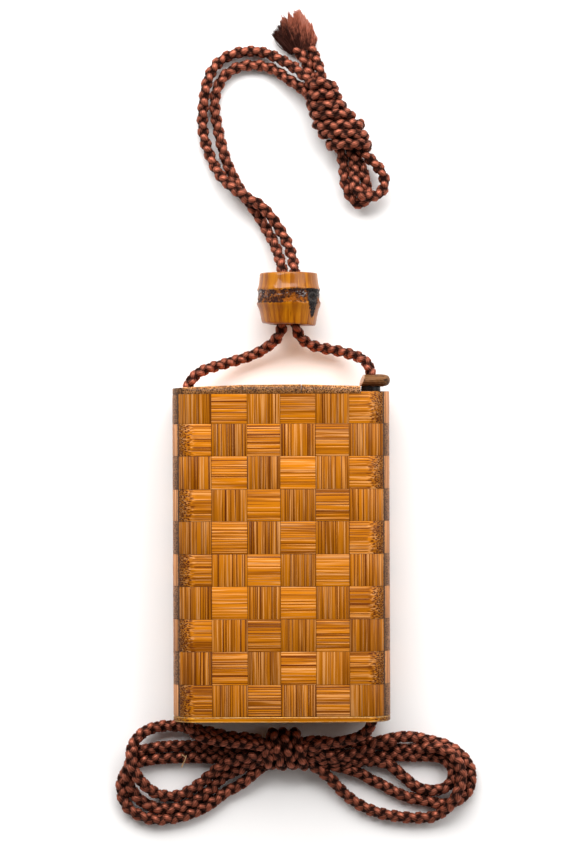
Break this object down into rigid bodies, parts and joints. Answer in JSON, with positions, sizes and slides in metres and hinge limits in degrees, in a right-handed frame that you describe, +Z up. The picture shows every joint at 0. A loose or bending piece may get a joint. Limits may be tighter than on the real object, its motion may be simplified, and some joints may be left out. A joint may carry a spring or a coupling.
{
  "type": "inro case",
  "caption": "Flat bamboo hanging case with a checkerboard parquetry face, lift-off lid, bamboo bead and braided cord tied in a bow.",
  "frame": {"origin": "middle of the case's underside, with the case lying on its back", "axes": "+X across the case, +Y along the case towards its lid and bead, +Z up out of its front face"},
  "size_m": [0.1012, 0.2298, 0.02],
  "materials": {
    "parquetry": "polished golden bamboo tiles, grain turned tile by tile",
    "side_bamboo": "satin pinkish-brown bamboo",
    "lid_bamboo": "satin bamboo with end grain",
    "base_bamboo": "satin bamboo, grain across the case",
    "twig_wood": "bare brown twig with sawn ends",
    "black_collar": "black, slightly glossy",
    "bead_bamboo": "polished amber bamboo with a dark node",
    "silk_cord": "red-brown braided cord with a soft sheen"
  },
  "bodies": {
    "root": {"front_panel": "parquetry", "back_panel": "parquetry", "left_side": "side_bamboo", "right_side": "side_bamboo", "base_plate": "base_bamboo", "lid": "lid_bamboo", "cord_stop_collar": "black_collar", "cord_stop_bar": "twig_wood", "ojime_bead": "bead_bamboo", "cord_left": "silk_cord", "cord_right": "silk_cord", "bow_knot": "silk_cord", "bow_loops_left": "silk_cord", "bow_loops_right": "silk_cord", "end_knot": "silk_cord", "frayed_ends": "silk_cord"}
  },
  "joints": []
}
